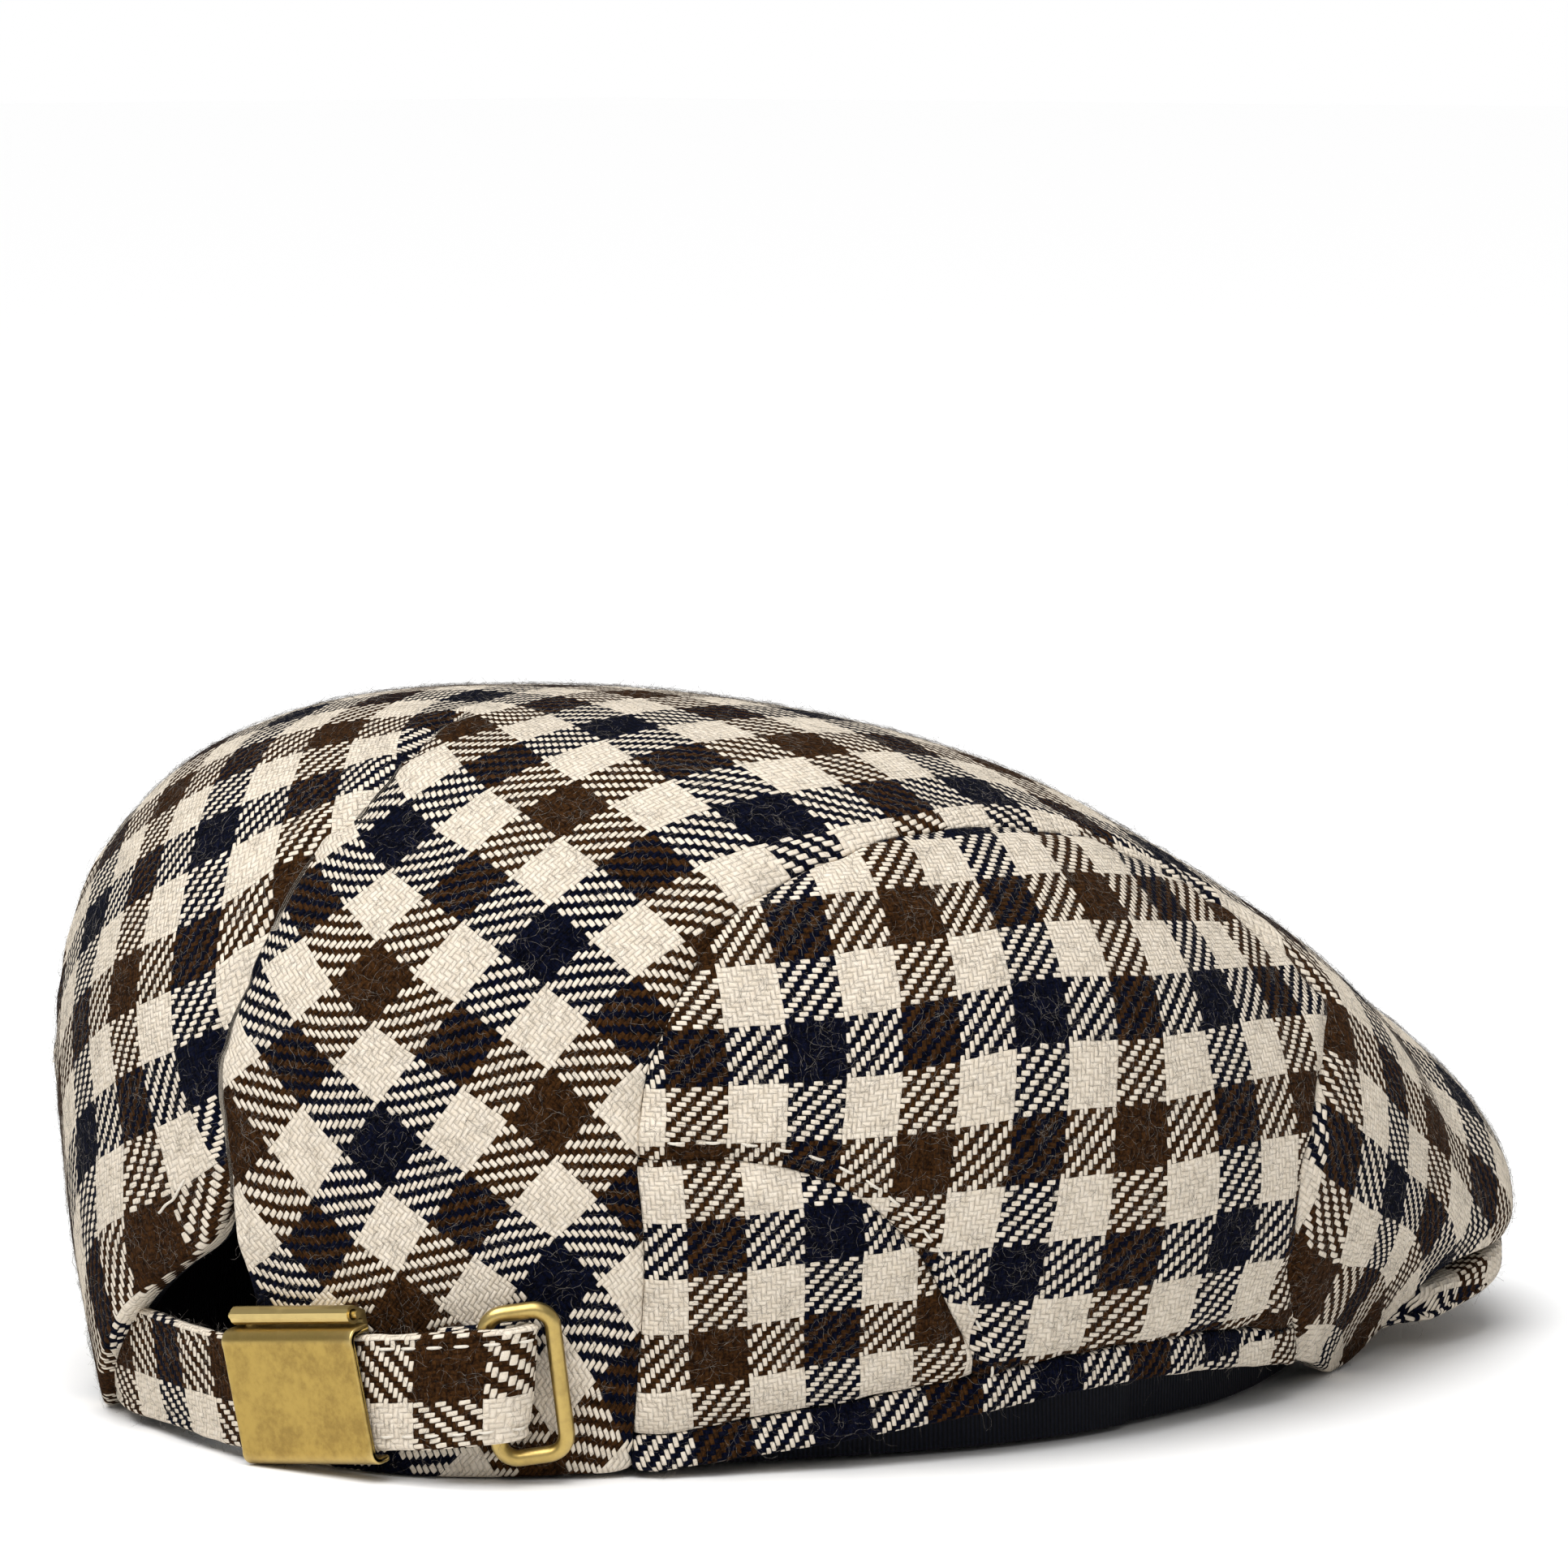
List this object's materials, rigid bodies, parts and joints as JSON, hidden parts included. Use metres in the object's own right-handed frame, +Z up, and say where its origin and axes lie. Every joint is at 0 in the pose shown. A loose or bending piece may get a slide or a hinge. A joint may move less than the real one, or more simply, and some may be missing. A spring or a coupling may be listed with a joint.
{
  "type": "flat cap",
  "caption": "Checked wool flat cap with a stiff peak under the front, and a buckled cloth strap and wire loop across the rear arch.",
  "frame": {"origin": "on the floor under the middle of the cap's bounding box, the cap resting on its hem", "axes": "+Y to the back of the cap, -Y to the peak, +X to the wearer's left, +Z up"},
  "size_m": [0.194, 0.2538, 0.107],
  "materials": {
    "checked_wool": "brushed 2/2 twill wool, navy and brown check on cream",
    "black_lining": "black satin lining",
    "aged_brass": "brushed antique brass with dark patina in the corners"
  },
  "bodies": {
    "root": {"top_panel": "checked_wool", "side_panel_right": "checked_wool", "side_panel_left": "checked_wool", "ear_gusset_right": "checked_wool", "ear_gusset_left": "checked_wool", "hem_band_right": "checked_wool", "hem_band_left": "checked_wool", "peak": "checked_wool", "strap": "checked_wool", "lining_top": "black_lining", "lining_side_right": "black_lining", "lining_side_left": "black_lining", "buckle_plate": "aged_brass", "buckle_frame": "aged_brass", "buckle_pin": "aged_brass", "strap_ring": "aged_brass"}
  },
  "joints": []
}
